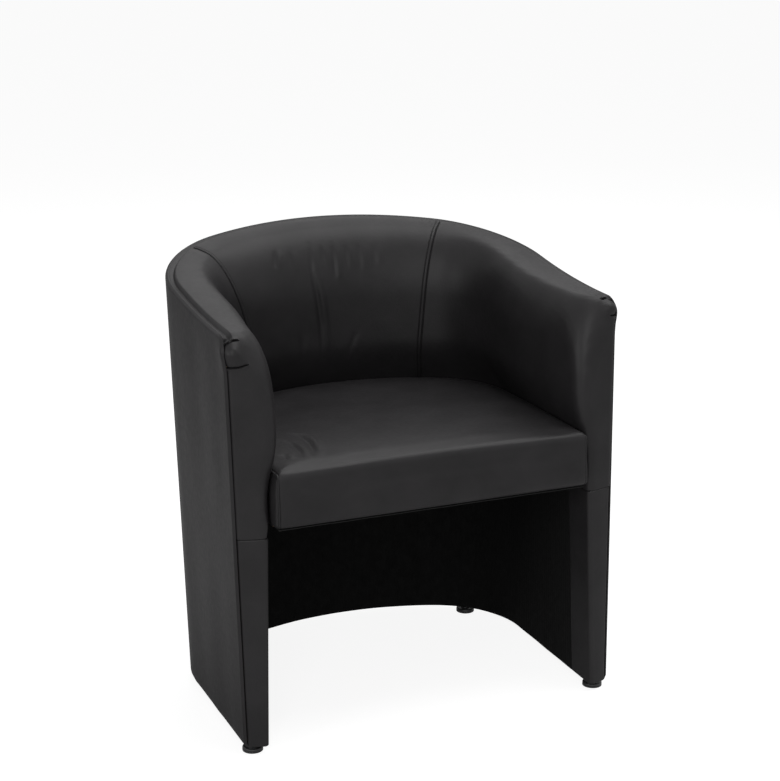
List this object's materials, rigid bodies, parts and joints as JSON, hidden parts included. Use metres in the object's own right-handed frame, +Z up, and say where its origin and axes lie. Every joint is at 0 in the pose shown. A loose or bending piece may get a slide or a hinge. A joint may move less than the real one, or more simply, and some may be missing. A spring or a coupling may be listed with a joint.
{
  "type": "club chair",
  "caption": "Upholstered tub armchair whose horseshoe wall forms arms, back and legs, with a sprung leather seat hung inside it and levelling glides below.",
  "frame": {"origin": "on the floor, below the middle of the chair's box", "axes": "+Z up, -Y the way the sitter faces, +X to the sitter's left"},
  "size_m": [0.6608, 0.5215, 0.7381],
  "materials": {
    "leather": "black satin hide with a fine grain",
    "lining": "matt black coated lining cloth",
    "dust_cloth": "black non-woven cloth",
    "foam": "open-cell upholstery foam and wadding",
    "felt": "grey needled felt",
    "webbing": "woven elastic webbing",
    "plywood": "bare birch plywood",
    "hardwood": "planed beech",
    "zinc_steel": "zinc-plated steel",
    "glide_plastic": "black nylon"
  },
  "bodies": {
    "chair": {"arm_cover_left": "leather", "arm_cover_right": "leather", "arm_foam_left": "foam", "arm_foam_right": "foam", "arm_front_foam_left": "foam", "arm_front_foam_right": "foam", "back_cover": "leather", "back_foam": "foam", "bottom_ring": "plywood", "cleat_screws": "zinc_steel", "corner_blocks": "hardwood", "front_post_left": "hardwood", "front_post_right": "hardwood", "inner_panel": "plywood", "leg_cover_left": "leather", "leg_cover_right": "leather", "leg_foam_left": "foam", "leg_foam_right": "foam", "lower_inner_panel": "plywood", "lower_lining": "lining", "lower_studs": "hardwood", "outer_cover": "leather", "outer_panel": "plywood", "outer_wadding": "foam", "seat_back_rail": "hardwood", "seat_bolts": "zinc_steel", "seat_cleat_back": "hardwood", "seat_cleat_left": "hardwood", "seat_cleat_right": "hardwood", "seat_cover": "leather", "seat_dust_cloth": "dust_cloth", "seat_felt": "felt", "seat_foam": "foam", "seat_front_rail": "hardwood", "seat_ring": "plywood", "seat_side_band": "leather", "seat_side_rail_left": "hardwood", "seat_side_rail_right": "hardwood", "threaded_inserts": "zinc_steel", "top_rail": "plywood", "underside_cloth": "dust_cloth", "upper_studs": "hardwood", "webbing_cross": "webbing", "webbing_long": "webbing"},
    "pad_front_left": {"glide_pad_front_left": "glide_plastic"},
    "stem_front_left": {"glide_stem_front_left": "zinc_steel"},
    "pad_front_right": {"glide_pad_front_right": "glide_plastic"},
    "stem_front_right": {"glide_stem_front_right": "zinc_steel"},
    "pad_rear_left": {"glide_pad_rear_left": "glide_plastic"},
    "stem_rear_left": {"glide_stem_rear_left": "zinc_steel"},
    "pad_rear_right": {"glide_pad_rear_right": "glide_plastic"},
    "stem_rear_right": {"glide_stem_rear_right": "zinc_steel"}
  },
  "joints": [
    {"name": "level_front_left", "type": "slide", "parent": "chair", "child": "pad_front_left", "axis": [0, 0, -1], "range_m": [0, 0.01]},
    {"name": "turn_front_left", "type": "hinge", "parent": "pad_front_left", "child": "stem_front_left", "pos_m": [-0.304, -0.241, 0.02], "axis": [0, 0, -1], "range_deg": [0, 2880]},
    {"name": "level_front_right", "type": "slide", "parent": "chair", "child": "pad_front_right", "axis": [0, 0, -1], "range_m": [0, 0.01]},
    {"name": "turn_front_right", "type": "hinge", "parent": "pad_front_right", "child": "stem_front_right", "pos_m": [0.304, -0.241, 0.02], "axis": [0, 0, -1], "range_deg": [0, 2880]},
    {"name": "level_rear_left", "type": "slide", "parent": "chair", "child": "pad_rear_left", "axis": [0, 0, -1], "range_m": [0, 0.01]},
    {"name": "turn_rear_left", "type": "hinge", "parent": "pad_rear_left", "child": "stem_rear_left", "pos_m": [-0.24192, 0.13423, 0.02], "axis": [0, 0, -1], "range_deg": [0, 2880]},
    {"name": "level_rear_right", "type": "slide", "parent": "chair", "child": "pad_rear_right", "axis": [0, 0, -1], "range_m": [0, 0.01]},
    {"name": "turn_rear_right", "type": "hinge", "parent": "pad_rear_right", "child": "stem_rear_right", "pos_m": [0.24192, 0.13423, 0.02], "axis": [0, 0, -1], "range_deg": [0, 2880]}
  ],
  "couplings": [
    {"joint": "level_front_left", "follows": "turn_front_left", "m_per_rad": 0.00019894},
    {"joint": "level_front_right", "follows": "turn_front_right", "m_per_rad": 0.00019894},
    {"joint": "level_rear_left", "follows": "turn_rear_left", "m_per_rad": 0.00019894},
    {"joint": "level_rear_right", "follows": "turn_rear_right", "m_per_rad": 0.00019894}
  ]
}
